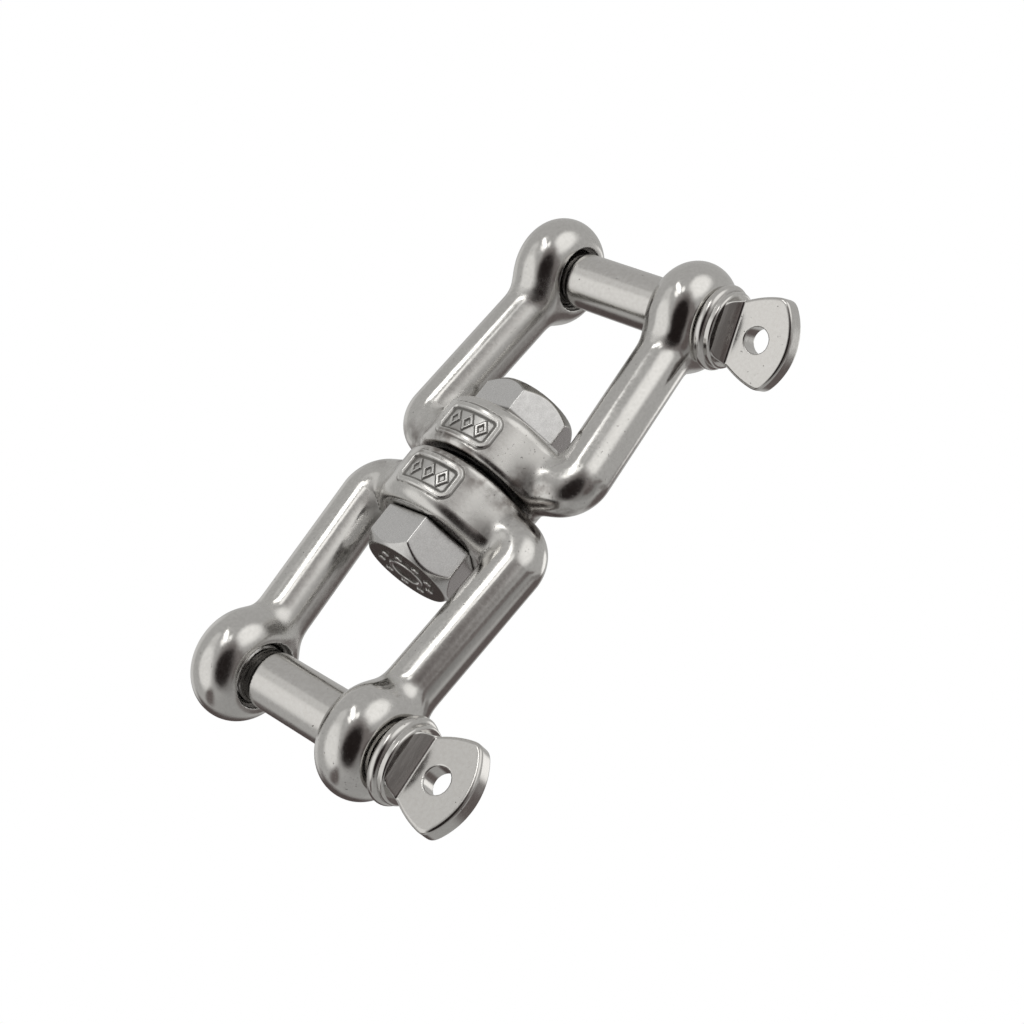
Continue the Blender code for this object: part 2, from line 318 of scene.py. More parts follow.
def nut(x, y, z):
    """A hexagon nut chamfered at its top, with a countersunk bore that the bolt's thread fills."""
    radius = np.hypot(x, y)
    body = hexagon(x, y, NUT_TURN, z - NUT_TOP)
    body = smooth_max(body, NUT_BOTTOM - 0.2 - z, TURNED_EDGE)
    mouth = NUT_MOUTH * ease(z, NUT_TOP - NUT_MOUTH_DEPTH, NUT_TOP)
    return smooth_max(body, NUT_BORE + mouth - radius, HOLE_EDGE)


def bolt(x, y, z):
    """The head, the shank and the threaded end that stands just proud of the nut."""
    radius = np.hypot(x, y)
    around = np.arctan2(y, x)
    crest = thread_radius(z, around, PIN_RADIUS)
    limit = PIN_RADIUS + (crest - PIN_RADIUS) * ease(z, HUB_TOP - BOLT_RUNOUT, HUB_TOP)
    shank = smooth_max(radius - limit, z - BOLT_TOP, 0.3)
    chamfer = (radius - PIN_RADIUS + BOLT_CHAMFER + z - BOLT_TOP) * math.sqrt(0.5)
    shank = smooth_max(shank, chamfer, TURNED_EDGE)
    shank = np.maximum(shank, HEAD_TOP - 1 - z)
    head = hexagon(x, y, HEAD_TURN, HEAD_END - z + head_relief(radius, around))
    head = smooth_max(head, z - HEAD_TOP, TURNED_EDGE)
    return smooth_min(shank, head, 0.4)


def head_relief(radius, around):
    """A raised ring and a circle of raised pips on the head's end, as forged bolts have."""
    ring = 1 - ease(np.abs(radius - HEAD_RING_RADIUS), *HEAD_RING_LINE)
    step = 2 * math.pi / PIP_COUNT
    aside = around - np.round(around / step) * step
    pip = np.hypot(radius * np.cos(aside) - PIP_CIRCLE_RADIUS, radius * np.sin(aside))
    return -HEAD_RING_RAISED * ring - PIP_RAISED * (1 - ease(pip, *PIP_LINE))


def on_head_end(x, y, z):
    """Where the bolt head's end lies, with its raised marks."""
    return z < HEAD_END + 0.4


def washer(x, y, z):
    """The flat ring in the gap between the hubs."""
    radius = np.hypot(x, y)
    body = rounded_both(np.abs(z) - WASHER_HALF, radius - WASHER_RADIUS, WASHER_EDGE)
    return smooth_max(body, HOLE_RADIUS - radius, WASHER_EDGE)


def tab(x, y, z):
    """The flat tab: flanks that swell from the collar, an arched end, and the hole for mousing wire."""
    short = np.maximum(TAB_WIDEST_AT - x, 0)
    flank = (np.abs(y) - TAB_HALF_WIDTH + TAB_NARROWING * short**2) * 0.95
    arch = np.hypot(x - TAB_TIP + TAB_END_RADIUS, y) - TAB_END_RADIUS
    outline = smooth_max(flank, arch, TAB_CORNER)
    plate = rounded_both(outline, np.abs(z) - TAB_HALF_THICKNESS, TAB_EDGE)
    ramp = (np.abs(z) - TAB_HALF_THICKNESS) * math.cos(RAMP_SLOPE) + (x - RAMP_END) * math.sin(RAMP_SLOPE)
    root = smooth_max(ramp, flank, 0.4)
    root = smooth_max(root, np.hypot(y, z) - STEP_RADIUS + 0.35, 0.3)
    root = np.maximum(root, x - RAMP_END)
    body = smooth_min(plate, root, TAB_BLEND)
    body = np.maximum(body, FLANGE_END - x)
    return smooth_max(body, MOUSING_RADIUS - np.hypot(x - MOUSING_AT, y), 0.35)


def clevis_pin(x, y, z):
    """Threaded end, relief groove, plain shank, collar in two steps, and the tab."""
    radius = np.hypot(y, z)
    around = np.arctan2(z, y)
    crest = thread_radius(x, around, PIN_RADIUS)
    limit = PIN_RADIUS + (crest - PIN_RADIUS) * (1 - ease(x, NECK_START - PIN_RUNOUT, NECK_START))
    into_neck = ease(x, NECK_START - NECK_SHOULDER, NECK_START)
    neck = into_neck * (1 - ease(x, NECK_END - NECK_SHOULDER, NECK_END))
    limit = limit + (NECK_RADIUS - limit) * neck
    shank = np.maximum(radius - limit, x - FLANGE_END)
    end = -EAR_OUTSIDE - x
    shank = smooth_max(shank, end, TURNED_EDGE)
    chamfer = (radius - PIN_RADIUS + PIN_CHAMFER + end) * math.sqrt(0.5)
    shank = smooth_max(shank, chamfer, TURNED_EDGE)
    flange_middle = (FLANGE_START + FLANGE_END) / 2
    flange_half = (FLANGE_END - FLANGE_START) / 2
    flange = rounded_both(np.abs(x - flange_middle) - flange_half, radius - FLANGE_RADIUS, FLANGE_EDGE)
    step_middle = (FLANGE_START + STEP_END) / 2
    step_half = (STEP_END - FLANGE_START) / 2
    step = rounded_both(np.abs(x - step_middle) - step_half, radius - STEP_RADIUS, STEP_EDGE)
    body = smooth_min(smooth_min(shank, flange, 0.2), step, 0.1)
    return smooth_min(body, tab(x, y, z), 0.12)


def on_collar(x, y, z):
    """Where the pin's collar and the foot of its tab lie."""
    return (x > FLANGE_START - 0.3) & (x < RAMP_END + 0.5)


# ---- From fields to meshes ----


def slope_of(field, points, reach=0.02):
    """The field and its slope at some points."""
    slope = np.empty_like(points)
    for axis in range(3):
        ahead, behind = points.copy(), points.copy()
        ahead[:, axis] += reach
        behind[:, axis] -= reach
        slope[:, axis] = (field(*ahead.T) - field(*behind.T)) / (2 * reach)
    return field(*points.T), slope


def bend_of(field, points, reach=0.13):
    """How sharply the skin bends at some points, per millimetre: above zero on edges, below in creases."""
    bend = -6 * field(*points.T)
    for axis in range(3):
        for step in (reach, -reach):
            moved = points.copy()
            moved[:, axis] += step
            bend = bend + field(*moved.T)
    return bend / reach**2


def settle(field, points, step, rounds):
    """Moves points along the slope onto the field's zero level."""
    for _ in range(rounds):
        value, slope = slope_of(field, points)
        square = np.maximum((slope**2).sum(1), 0.05)
        points = points - slope * np.clip(value / square, -step, step)[:, None]
    return points


def crossed_cells(field, low, high, step):
    """The grid cells that the skin passes through, and the quads that join their middles."""
    axes = [np.arange(a - 2 * step, b + 3 * step, step) for a, b in zip(low, high)]
    inside = field(axes[0][:, None, None], axes[1][None, :, None], axes[2][None, None, :]) < 0
    inside = np.broadcast_to(inside, [len(a) for a in axes])
    count = np.zeros([len(a) - 1 for a in axes], np.int8)
    ends = (slice(None, -1), slice(1, None))
    for i in range(8):
        count += inside[ends[i & 1], ends[i >> 1 & 1], ends[i >> 2 & 1]]
    crossed = (count > 0) & (count < 8)
    number = np.full(crossed.shape, -1)
    number[crossed] = np.arange(crossed.sum())
    corner = np.array([a[0] for a in axes])
    middles = corner + (np.argwhere(crossed) + 0.5) * step
    quads = []
    for axis in range(3):
        second, third = (axis + 1) % 3, (axis + 2) % 3
        near = np.take(inside, range(inside.shape[axis] - 1), axis)
        far = np.take(inside, range(1, inside.shape[axis]), axis)
        places = np.argwhere(near != far)
        leaves = near[tuple(places.T)]
        ring = []
        for back_second, back_third in ((1, 1), (0, 1), (0, 0), (1, 0)):
            cell = places.copy()
            cell[:, second] -= back_second
            cell[:, third] -= back_third
            ring.append(number[tuple(cell.T)])
        quad = np.stack(ring, 1)
        quads.append(np.where(leaves[:, None], quad, quad[:, ::-1]))
    return middles, np.concatenate(quads)


def evened(points, quads):
    """Each point moved halfway towards the mean of its neighbours."""
    total = np.zeros_like(points)
    ends = np.concatenate([quads, np.roll(quads, 1, 1)], 1).ravel()
    others = np.concatenate([np.roll(quads, 1, 1), quads], 1).ravel()
    for axis in range(3):
        total[:, axis] = np.bincount(ends, points[others, axis], len(points))
    share = np.bincount(ends, minlength=len(points))[:, None]
    return (points + total / share) / 2


def refine(mesh, wanted, cuts):
    """Splits the faces whose corners are all wanted."""
    grid = bmesh.new()
    grid.from_mesh(mesh)
    edges = set()
    for face in grid.faces:
        if all(wanted[vertex.index] for vertex in face.verts):
            edges.update(face.edges)
    bmesh.ops.subdivide_edges(grid, edges=list(edges), cuts=cuts, use_grid_fill=True)
    grid.to_mesh(mesh)
    grid.free()


def vectors(collection, name):
    """The vectors of a mesh's points or attribute, as rows."""
    found = np.empty(len(collection) * 3)
    collection.foreach_get(name, found)
    return found.reshape(-1, 3)


def skin(name, field, low, high, step, finer=None, cuts=1):
    """A closed mesh on a field's zero level, in millimetres, with more faces where finer() is true."""
    points, quads = crossed_cells(field, low, high, step)
    points = settle(field, points, step, 3)
    for _ in range(3):
        points = settle(field, evened(points, quads), step, 1)
    mesh = bpy.data.meshes.new(name)
    mesh.from_pydata(points.tolist(), [], quads.tolist())
    if finer is not None:
        refine(mesh, finer(*points.T), cuts)
        points = vectors(mesh.vertices, "co")
    points = settle(field, points, step, 3)
    slope = slope_of(field, points)[1]
    normals = slope / np.maximum(np.linalg.norm(slope, axis=1), 1e-6)[:, None]
    mesh.vertices.foreach_set("co", points.ravel())
    mesh.shade_smooth()
    for kept, values in (("drawn", points), ("facing", normals)):
        made = mesh.attributes.new(kept, "FLOAT_VECTOR", "POINT")
        made.data.foreach_set("vector", values.ravel())
    made = mesh.attributes.new("bend", "FLOAT", "POINT")
    made.data.foreach_set("value", bend_of(field, points))
    return mesh


def place(name, drawn, matrix):
    """An object in the row frame from a mesh that skin() made, moved by a matrix in millimetres."""
    mesh = drawn.copy()
    mesh.name = name
    turn = np.array(matrix.to_3x3())
    points = vectors(mesh.vertices, "co") @ turn.T + np.array(matrix.translation)
    mesh.vertices.foreach_set("co", (points * MM).ravel())
    normals = vectors(mesh.attributes["facing"].data, "vector") @ turn.T
    mesh.attributes.remove(mesh.attributes["facing"])
    mesh.normals_split_custom_set_from_vertices(normals)
    made = bpy.data.objects.new(name, mesh)
    bpy.context.scene.collection.objects.link(made)
    return made


def dress(made, material, body, node):
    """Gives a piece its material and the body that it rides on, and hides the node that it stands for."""
    made.data.materials.append(material)
    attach(made, body)
    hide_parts(node)


# ---- Materials ----

# Painted shade in creases and at the feet of hexagons.
CREASE_SHADE = (0.13, 0.122, 0.112, 1)
CREASE_BEND = (-0.7, -3.5)
# A painted highlight on sharp edges.
EDGE_HIGHLIGHT = (0.86, 0.855, 0.84, 1)
EDGE_BEND = (1.6, 5.0)
FORGED_DARK = (0.63, 0.62, 0.60, 1)
FORGED_PALE = (0.68, 0.67, 0.65, 1)
FORGED_PIT = (0.34, 0.33, 0.32, 1)
# Painted shade in and around the pin holes.
HOLE_SHADE = (0.36, 0.35, 0.335, 1)
PANEL_FLOOR = (0.62, 0.615, 0.6, 1)
# Dark blotches, growing towards the gap between the hubs.
DARK_BLOTCH = (0.25, 0.228, 0.215, 1)
DARK_BLOTCH_TOP = 5.2
TURNED_DARK = (0.62, 0.605, 0.585, 1)
TURNED_PALE = (0.67, 0.66, 0.64, 1)
TURNED_PIT = (0.2, 0.19, 0.18, 1)
# Darker from the neck out to the threaded end.
PAST_NECK_DARK = (0.5, 0.49, 0.48, 1)
SCRAPE = (0.3, 0.285, 0.27, 1)
MACHINED_DARK = (0.64, 0.635, 0.63)
MACHINED_PALE = (0.72, 0.715, 0.71)
HEXAGON_END = (0.27, 0.26, 0.24, 1)
PIT_DEPTH = -0.012


class Paint:
    """A Principled material whose pattern follows the drawn place of each point, in millimetres."""

    def __init__(self, name):
        self.material = bpy.data.materials.new(name)
        self.material.use_nodes = True
        self.nodes = self.material.node_tree.nodes
        self.links = self.material.node_tree.links
        self.shader = self.nodes["Principled BSDF"]
        self.drawn = self.node("ShaderNodeAttribute", attribute_name="drawn").outputs["Vector"]
        along = self.node("ShaderNodeSeparateXYZ", {0: self.drawn})
        self.along_x, self.along_y, self.along_z = along.outputs
        self.bend = self.node("ShaderNodeAttribute", attribute_name="bend").outputs["Fac"]

    def node(self, kind, inputs=None, **settings):
        made = self.nodes.new(kind)
        for key, value in settings.items():
            setattr(made, key, value)
        for key, value in (inputs or {}).items():
            self.feed(made.inputs[key], value)
        return made

    def feed(self, socket, value):
        if isinstance(value, bpy.types.NodeSocket):
            self.links.new(value, socket)
        else:
            socket.default_value = value

    def math(self, operation, a, b=0.0):
        return self.node("ShaderNodeMath", {0: a, 1: b}, operation=operation).outputs[0]

    def noise(self, seed, scale, stretch=(1, 1, 1), detail=2.0):
        """Noise from 0 to 1 with so many features a millimetre along each axis."""
        spread = self.node("ShaderNodeVectorMath", {0: self.drawn, 1: stretch}, operation="MULTIPLY")
        inputs = {"Vector": spread.outputs[0], "W": seed, "Scale": scale, "Detail": detail}
        return self.node("ShaderNodeTexNoise", inputs, noise_dimensions="4D").outputs[0]

    def spread(self, value, low, high, to_low=0.0, to_high=1.0):
        inputs = {"Value": value, "From Min": low, "From Max": high, "To Min": to_low, "To Max": to_high}
        return self.node("ShaderNodeMapRange", inputs, interpolation_type="SMOOTHSTEP").outputs[0]

    def mix(self, share, a, b):
        made = self.node("ShaderNodeMix", {"Factor": share}, data_type="RGBA")
        self.feed(made.inputs["A"], a)
        self.feed(made.inputs["B"], b)
        return made.outputs["Result"]

    def total(self, *parts):
        """The sum of some patterns, each times its weight."""
        total = 0.0
        for pattern, weight in parts:
            inputs = {0: pattern, 1: weight, 2: total}
            total = self.node("ShaderNodeMath", inputs, operation="MULTIPLY_ADD").outputs[0]
        return total

    def length(self, vector):
        return self.node("ShaderNodeVectorMath", {0: vector}, operation="LENGTH").outputs["Value"]

    def ring(self, height, outside, inside):
        """1 near the line along x at a height, and 0 away from it."""
        offset = self.node("ShaderNodeVectorMath", {0: self.drawn, 1: (0, 0, -height)}, operation="ADD")
        flat = self.node("ShaderNodeVectorMath", {0: offset.outputs[0], 1: (0, 1, 1)}, operation="MULTIPLY")
        return self.spread(self.length(flat.outputs[0]), outside, inside)

    def radius(self):
        """How far from the z axis."""
        flat = self.node("ShaderNodeVectorMath", {0: self.drawn, 1: (1, 1, 0)}, operation="MULTIPLY")
        return self.length(flat.outputs[0])

    def hexagon_end(self, end, on_chamfer):
        """1 on a hexagon's end face at a height, less on its raised marks, and a share on its chamfer."""
        outwards, upwards = math.sin(HEX_CHAMFER_SLOPE), math.cos(HEX_CHAMFER_SLOPE)
        out = self.math("MULTIPLY", self.radius(), outwards)
        up = self.math("MULTIPLY", self.along_z, math.copysign(upwards, end))
        level = HEX_CHAMFER_RADIUS * outwards + abs(end) * upwards
        chamfer = self.spread(self.math("ADD", out, up), level - 0.14, level - 0.06, 0.0, on_chamfer)
        height = self.math("ABSOLUTE", self.along_z)
        face = self.spread(height, abs(end) - 0.12, abs(end) - 0.04)
        raised = self.spread(height, abs(end) + 0.06, abs(end) + 0.18)
        return self.math("MAXIMUM", chamfer, self.math("SUBTRACT", face, raised))

    def recess(self):
        """1 on the sunken floors of the hub's panels, and 0 elsewhere."""
        sunk = self.spread(self.radius(), HUB_RADIUS, HUB_RADIUS - PANEL_SUNK)
        aside = self.spread(self.math("ABSOLUTE", self.along_y), PANEL_BACK, PANEL_BACK + 0.5)
        level = self.math("ABSOLUTE", self.math("SUBTRACT", self.along_z, PANEL_HEIGHT))
        within = self.math("MULTIPLY", sunk, self.spread(level, PANEL_HALF_HEIGHT, PANEL_HALF_HEIGHT - 0.3))
        return self.math("MULTIPLY", within, aside)

    def bend_shade_and_highlight(self, colour, crease=0.8, edge=0.5):
        """A colour with painted shade in the creases and painted highlights on the edges."""
        crease_shade_share = self.spread(self.bend, *CREASE_BEND, 0.0, crease)
        colour = self.mix(crease_shade_share, colour, CREASE_SHADE)
        edge_highlight_share = self.spread(self.bend, *EDGE_BEND, 0.0, edge)
        return self.mix(edge_highlight_share, colour, EDGE_HIGHLIGHT)

    def bump(self, height):
        """A bump with the height given in millimetres."""
        inputs = {"Height": height, "Distance": MM, "Strength": 1.0}
        return self.node("ShaderNodeBump", inputs).outputs[0]

    def finish(self, colour, roughness, normal):
        """The material, as bare metal with this colour, roughness and relief."""
        self.shader.inputs["Metallic"].default_value = 1.0
        self.feed(self.shader.inputs["Base Color"], colour)
        self.feed(self.shader.inputs["Roughness"], roughness)
        self.links.new(normal, self.shader.inputs["Normal"])
        return self.material


def forged_steel(name, seed):
    """Polished forging: slow waves, orange peel, pits and lines, duller about the gap and darker there in
    blotches.
    """
    paint = Paint(name)
    waves = paint.noise(seed, 0.3, detail=0.0)
    dents = paint.noise(seed + 19, 0.9, detail=1.0)
    peel = paint.noise(seed + 3, 2.2, detail=2.0)
    lines = paint.noise(seed + 5, 3.4, (1, 1, 0.04), 2.0)
    pits = paint.spread(paint.noise(seed + 7, 3.2, detail=1.0), 0.68, 0.75)
    patches = paint.spread(paint.noise(seed + 9, 0.16, detail=2.0), 0.45, 0.62)
    pits = paint.math("MULTIPLY", pits, patches)
    colour = paint.mix(paint.spread(peel, 0.3, 0.7), FORGED_DARK, FORGED_PALE)
    colour = paint.mix(pits, colour, FORGED_PIT)
    # Painted shade in and around the pin holes, where the pins sit.
    darker_share = paint.ring(JAW_REACH, HOLE_RADIUS + 0.7, HOLE_RADIUS + 0.2)
    colour = paint.mix(darker_share, colour, HOLE_SHADE)
    recess = paint.recess()
    colour = paint.mix(recess, colour, PANEL_FLOOR)
    # Dark blotches, growing towards the gap between the hubs.
    dark_blotches = paint.spread(paint.noise(seed + 17, 0.4, detail=5.0), 0.42, 0.62)
    dark_blotches = paint.math("MULTIPLY", dark_blotches, paint.spread(paint.along_z, DARK_BLOTCH_TOP, HUB_BOTTOM + 0.6))
    colour = paint.mix(dark_blotches, colour, DARK_BLOTCH)
    # Painted shade in the creases and painted highlights on the edges.
    colour = paint.bend_shade_and_highlight(colour, 0.65)
    roughness = paint.spread(peel, 0.25, 0.75, 0.10, 0.16)
    hollow = paint.spread(paint.bend, 0.08, -0.28)
    about_hub = paint.spread(paint.radius(), HUB_RADIUS + 2.2, HUB_RADIUS + 0.2)
    dull = paint.total((roughness, 1.0), (recess, 0.12), (patches, 0.06), (hollow, 0.32), (about_hub, 0.09))
    grain = paint.noise(seed + 11, 5.0, detail=1.0)
    height = paint.total(
        (waves, 0.018),
        (dents, 0.007),
        (peel, 0.0042),
        (lines, 0.002),
        (grain, 0.0007),
        (pits, PIT_DEPTH),
    )
    normal = paint.bump(height)
    return paint.finish(colour, dull, normal)


def turned_steel(name, seed):
    """Satin bar: faint streaks and rings, a soft speckle, a few pits, and scrapes on the tab's ramp."""
    paint = Paint(name)
    rings = paint.noise(seed, 4.0, (1, 0.08, 0.08), 3.0)
    streaks = paint.noise(seed + 1, 4.0, (0.06, 1, 1), 2.0)
    peel = paint.noise(seed + 3, 2.0, detail=3.0)
    pits = paint.spread(paint.noise(seed + 7, 2.4, detail=1.0), 0.74, 0.79)
    colour = paint.mix(paint.spread(peel, 0.3, 0.7), TURNED_DARK, TURNED_PALE)
    colour = paint.mix(pits, colour, TURNED_PIT)
    # Darker from the neck out to the threaded end.
    darker_share = paint.spread(paint.along_x, NECK_END + 0.3, NECK_END)
    colour = paint.mix(darker_share, colour, PAST_NECK_DARK)
    scrapes = paint.spread(paint.noise(seed + 5, 2.6, (1, 0.06, 0.3), 3.0), 0.38, 0.62)
    on_ramp = paint.spread(paint.along_x, RAMP_END + 0.1, RAMP_END - 0.5, 0.0, 0.4)
    beyond = paint.spread(paint.along_x, STEP_END - 0.1, STEP_END + 0.3)
    scrapes = paint.math("MULTIPLY", scrapes, paint.math("MULTIPLY", on_ramp, beyond))
    colour = paint.mix(scrapes, colour, SCRAPE)
    # Painted shade in the creases and painted highlights on the edges.
    colour = paint.bend_shade_and_highlight(colour, 0.2, 0.4)
    roughness = paint.spread(peel, 0.3, 0.7, 0.15, 0.21)
    height = paint.total((peel, 0.0016), (rings, 0.0004), (streaks, 0.0011), (pits, PIT_DEPTH))
    normal = paint.bump(height)
    return paint.finish(colour, roughness, normal)


def shaded(colour, shade):
    """A colour times a shade, as a material's input takes it."""
    return (*(part * shade for part in colour), 1)


def machined_steel(name, seed, shade=1.0, end=None, foot_shade_end=0.0, on_chamfer=1.0):
    """Machined stock with a fine speckle; a hexagon is dark on its end and its chamfer, with painted shade
    at its foot.
    """
    paint = Paint(name)
    peel = paint.noise(seed, 1.0, detail=3.0)
    speckle = paint.noise(seed + 2, 5.0, detail=2.0)
    dark, pale = shaded(MACHINED_DARK, shade), shaded(MACHINED_PALE, shade)
    colour = paint.mix(paint.spread(speckle, 0.35, 0.7), dark, pale)
    if end is not None:
        colour = paint.mix(paint.hexagon_end(end, on_chamfer), colour, HEXAGON_END)
        # Painted shade in the creases and painted highlights on the edges.
        colour = paint.bend_shade_and_highlight(colour, 0.6, 0.8)
        # Painted shade at the hexagon's foot, where it stands on the hub.
        foot = paint.spread(paint.math("ABSOLUTE", paint.along_z), foot_shade_end, foot_shade_end - 0.35, 0.0, 0.85)
        colour = paint.mix(foot, colour, CREASE_SHADE)
    roughness = paint.spread(peel, 0.3, 0.7, 0.2, 0.3)
    normal = paint.bump(paint.total((peel, 0.003), (speckle, 0.0006)))
    return paint.finish(colour, roughness, normal)


# ---- The pieces ----


def place_of(height, turn=0.0):
    """The matrix in millimetres that sets a part at a height, turned about x."""
    return Matrix.Translation((0, 0, height)) @ Matrix.Rotation(turn, 4, "X")


def add_jaws():
    side = max(EAR_OUTSIDE, LEG_AT_BAR + BAR_RADIUS)
    low = (-side, -HUB_RADIUS, HUB_BOTTOM - 0.5)
    high = (side, HUB_RADIUS, JAW_REACH + EAR_RADIUS)
    forging = skin("jaw", jaw, low, high, JAW_STEP, on_panel, 2)
    for name, turn, seed in (("upper_jaw", 0, 1.0), ("lower_jaw", math.pi, 21.0)):
        made = place(name + "_forging", forging, place_of(-JAW_REACH, turn))
        dress(made, forged_steel(name + "_steel", seed), name, name)


def add_nut():
    low = (-HEX_REACH, -HEX_REACH, NUT_BOTTOM - 0.4)
    high = (HEX_REACH, HEX_REACH, NUT_TOP)
    made = place("lock_nut", skin("nut", nut, low, high, FINE_STEP), place_of(-JAW_REACH))
    steel = machined_steel("nut_steel", 31.0, 1.04, end=NUT_TOP, foot_shade_end=HUB_TOP + 0.9)
    dress(made, steel, "swivel_bolt", "swivel_nut")


def add_bolt():
    low = (-HEX_REACH, -HEX_REACH, HEAD_END - 0.3)
    high = (HEX_REACH, HEX_REACH, BOLT_TOP)
    drawn = skin("bolt", bolt, low, high, FINE_STEP, on_head_end)
    made = place("headed_bolt", drawn, place_of(-JAW_REACH))
    steel = machined_steel("bolt_steel", 37.0, 1.06, HEAD_END, HUB_TOP + 0.5, on_chamfer=0.25)
    dress(made, steel, "swivel_bolt", "swivel_bolt")


def add_washer():
    low = (-WASHER_RADIUS, -WASHER_RADIUS, -0.5)
    high = (WASHER_RADIUS, WASHER_RADIUS, 0.5)
    made = place("spacer_ring", skin("washer", washer, low, high, FINE_STEP), place_of(-JAW_REACH))
    # The washer's steel is darkened to 0.12 of its colour: painted shade in the gap between the hubs.
    steel = machined_steel("washer_steel", 41.0, shade=0.12)
    dress(made, steel, "thrust_washer", "thrust_washer")


def add_pins():
    wide = max(FLANGE_RADIUS, TAB_HALF_WIDTH)
    low = (-EAR_OUTSIDE, -wide, -FLANGE_RADIUS)
    high = (TAB_TIP, wide, FLANGE_RADIUS)
    forging = skin("pin", clevis_pin, low, high, PIN_STEP, on_collar)
    out = Matrix.Translation((LOWER_PIN_OUT, 0, 0))
    pins = (
        ("upper_clevis_pin", place_of(0, UPPER_ROLL), 51.0),
        ("lower_clevis_pin", out @ place_of(-2 * JAW_REACH, LOWER_ROLL), 61.0),
    )
    for name, matrix, seed in pins:
        made = place(name + "_forging", forging, matrix)
        dress(made, turned_steel(name + "_steel", seed), name, name)


# ---- Camera, light and surroundings ----

AIM = Vector((5.11, 3.59, -35.92)) * MM
CAMERA_DISTANCE = 219.8 * MM
CAMERA_AZIMUTH = math.radians(36.73)
CAMERA_ELEVATION = math.radians(-17.43)
CAMERA_ROLL = math.radians(37.47)
CAMERA_LENS = 57.05
FLOOR_HEIGHT = -0.17
FLOOR_RADIUS = 0.35
FLOOR_FADE = (FLOOR_RADIUS * 0.2, FLOOR_RADIUS * 0.97)
BACKDROP_RADIUS = 2.9


def camera_turn():
    """The camera's rotation: round to its azimuth, down below the object, and rolled."""
    around = Matrix.Rotation(CAMERA_AZIMUTH, 4, "Z")
    down = Matrix.Rotation(math.pi / 2 - CAMERA_ELEVATION, 4, "X")
    return around @ down @ Matrix.Rotation(CAMERA_ROLL, 4, "Z")


def add_camera():
    """The main camera, rolled so that the swivel leans across the frame."""
    data = bpy.data.cameras.new("camera")
    data.lens = CAMERA_LENS
    data.sensor_width = 36
    data.clip_start = 0.01
    data.clip_end = 20
    camera = bpy.data.objects.new("camera", data)
    bpy.context.scene.collection.objects.link(camera)
    turn = camera_turn()
    camera.matrix_world = Matrix.Translation(AIM + turn @ Vector((0, 0, CAMERA_DISTANCE))) @ turn
    bpy.context.scene.camera = camera


# The studio that the steel reflects, as soft-edged patches of light and shade. Each is where it lies
# from the main camera's own direction (away, and around from its right-hand side), its half sizes
# outwards and around, in degrees, how soft its edge is, and how bright it is.
STUDIO_SHADE = 0.51
WARM = (1.012, 1.003, 0.985)
BROWN = (1.2, 0.92, 0.88)
STUDIO = (
    (55, 312, 30, 34, 0.6, 0.29),
    (95, 280, 30, 35, 0.6, 0.42),
    (140, 238, 24, 26, 0.6, 0.09),
    (124, -38, 26, 17, 0.6, 0.13),
    (140, 172, 16, 30, 0.5, 0.68),
    (66, 186, 24, 40, 0.5, 0.98),
    (74, 138, 12, 12, 0.6, 0.74),
    (58, 47, 27, 25, 0.6, 1.14),
    (86, 234, 22, 10, 0.6, 0.14),
    (129, -4, 12, 12, 0.5, 1.3),
    (26, 340, 18, 18, 0.5, 0.2),
    (60, -13, 26, 4, 0.6, 0.18),
    (101, -23, 22, 5, 0.6, 0.25),
    (52, -38, 12, 14, 0.5, 0.12),
    (9, 264, 48, 31, 0.5, 0.2),
    (16, 262, 37, 26, 0.4, 0.015),
    (57, 113, 17, 4.5, 0.4, 3.0),
    (47, 124, 9, 3.5, 0.5, 1.6),
    (45, 99, 7, 4, 0.5, 1.5),
)


def patch_frame(away, around):
    """Which way a patch lies, and the turn whose x runs outwards across it and whose z runs to it."""
    away, around = math.radians(away), math.radians(around)
    out = Vector((math.cos(around), math.sin(around), 0))
    side = Vector((-math.sin(around), math.cos(around), 0))
    middle = out * math.sin(away) + Vector((0, 0, math.cos(away)))
    across = out * math.cos(away) - Vector((0, 0, math.sin(away)))
    turn = camera_turn().to_3x3() @ Matrix((across, side, middle)).transposed()
    return turn.col[2], turn.to_euler()


def tinted(bright):
    """The colour of a light or a shade: shades are browner."""
    share = min(bright / 0.3, 1.0)
    return (*(bright * (cold * (1 - share) + warm * share) for cold, warm in zip(BROWN, WARM)), 1)


def add_world():
    """The studio's patches laid over each other, in their order, on a plain shade."""
    world = bpy.data.worlds.new("studio")
    bpy.context.scene.world = world
    world.use_nodes = True
    tree = world.node_tree
    direction = tree.nodes.new("ShaderNodeTexCoord").outputs["Generated"]
    colour = tree.nodes.new("ShaderNodeRGB").outputs[0]
    colour.default_value = tinted(STUDIO_SHADE)
    for away, around, half_out, half_around, soft, bright in STUDIO:
        middle, turn = patch_frame(away, around)
        local = tree.nodes.new("ShaderNodeMapping")
        local.vector_type = "TEXTURE"
        local.inputs["Location"].default_value = middle
        local.inputs["Rotation"].default_value = turn
        local.inputs["Scale"].default_value = (
            math.sin(math.radians(half_out)),
            math.sin(math.radians(half_around)),
            1,
        )
        reach = tree.nodes.new("ShaderNodeVectorMath")
        reach.operation = "LENGTH"
        share = tree.nodes.new("ShaderNodeMapRange")
        share.interpolation_type = "SMOOTHSTEP"
        share.inputs["From Min"].default_value = 1 + soft / 2
        share.inputs["From Max"].default_value = 1 - soft / 2
        mixed = tree.nodes.new("ShaderNodeMix")
        mixed.data_type = "RGBA"
        mixed.inputs["B"].default_value = tinted(bright)
        tree.links.new(direction, local.inputs["Vector"])
        tree.links.new(local.outputs[0], reach.inputs[0])
        tree.links.new(reach.outputs["Value"], share.inputs["Value"])
        tree.links.new(share.outputs[0], mixed.inputs["Factor"])
        tree.links.new(colour, mixed.inputs["A"])
        colour = mixed.outputs["Result"]
    tree.links.new(colour, tree.nodes["Background"].inputs["Color"])


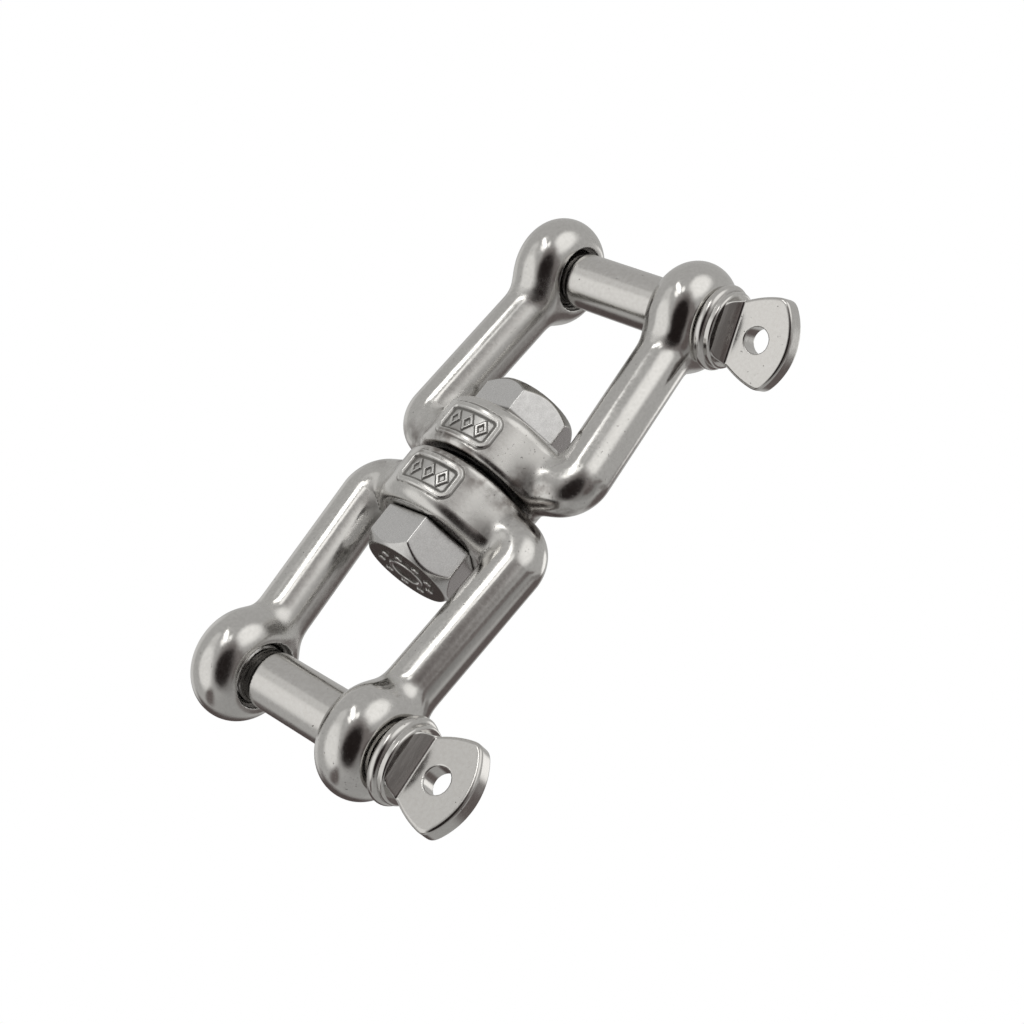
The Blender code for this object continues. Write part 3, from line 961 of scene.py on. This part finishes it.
def glowing(name):
    """A white material that lights nothing else, with its glow and its paint to be set."""
    made = bpy.data.materials.new(name)
    made.use_nodes = True
    made.cycles.emission_sampling = "NONE"
    shader = made.node_tree.nodes["Principled BSDF"]
    shader.inputs["Base Color"].default_value = (0, 0, 0, 1)
    shader.inputs["Specular IOR Level"].default_value = 0
    shader.inputs["Emission Color"].default_value = (1, 1, 1, 1)
    shader.inputs["Emission Strength"].default_value = 1
    return made


def floor_paint_and_glow():
    """Pale paint with a painted glow of half strength in its middle, turning into plain white light towards
    the floor's rim.
    """
    made = glowing("floor_paint_and_glow")
    tree = made.node_tree
    shader = tree.nodes["Principled BSDF"]
    place = tree.nodes.new("ShaderNodeTexCoord").outputs["Object"]
    distance = tree.nodes.new("ShaderNodeVectorMath")
    distance.operation = "LENGTH"
    tree.links.new(place, distance.inputs[0])
    for socket, at_middle, at_rim in (("Emission Strength", 0.5, 1.0), ("Base Color", 0.75, 0.0)):
        share = tree.nodes.new("ShaderNodeMapRange")
        share.interpolation_type = "SMOOTHSTEP"
        share.inputs["From Min"].default_value = FLOOR_FADE[0]
        share.inputs["From Max"].default_value = FLOOR_FADE[1]
        share.inputs["To Min"].default_value = at_middle
        share.inputs["To Max"].default_value = at_rim
        tree.links.new(distance.outputs["Value"], share.inputs["Value"])
        tree.links.new(share.outputs[0], shader.inputs[socket])
    return made


def add_surroundings():
    """A pale floor with a painted glow well below the camera, and a white backdrop that only the camera
    sees.
    """
    bpy.ops.mesh.primitive_circle_add(
        vertices=96, radius=FLOOR_RADIUS, fill_type="NGON", location=(0, 0, FLOOR_HEIGHT)
    )
    floor = bpy.context.object
    floor.name = "floor"
    floor.data.materials.append(floor_paint_and_glow())
    floor.visible_glossy = False
    bpy.ops.mesh.primitive_uv_sphere_add(segments=32, ring_count=16, radius=BACKDROP_RADIUS)
    backdrop = bpy.context.object
    backdrop.name = "backdrop"
    backdrop.data.materials.append(glowing("backdrop_paint"))
    for seen in ("visible_diffuse", "visible_glossy", "visible_transmission", "visible_shadow"):
        setattr(backdrop, seen, False)


add_camera()
add_jaws()
add_nut()
add_bolt()
add_washer()
add_pins()
add_world()
add_surroundings()
bpy.context.scene.view_settings.view_transform = "Standard"
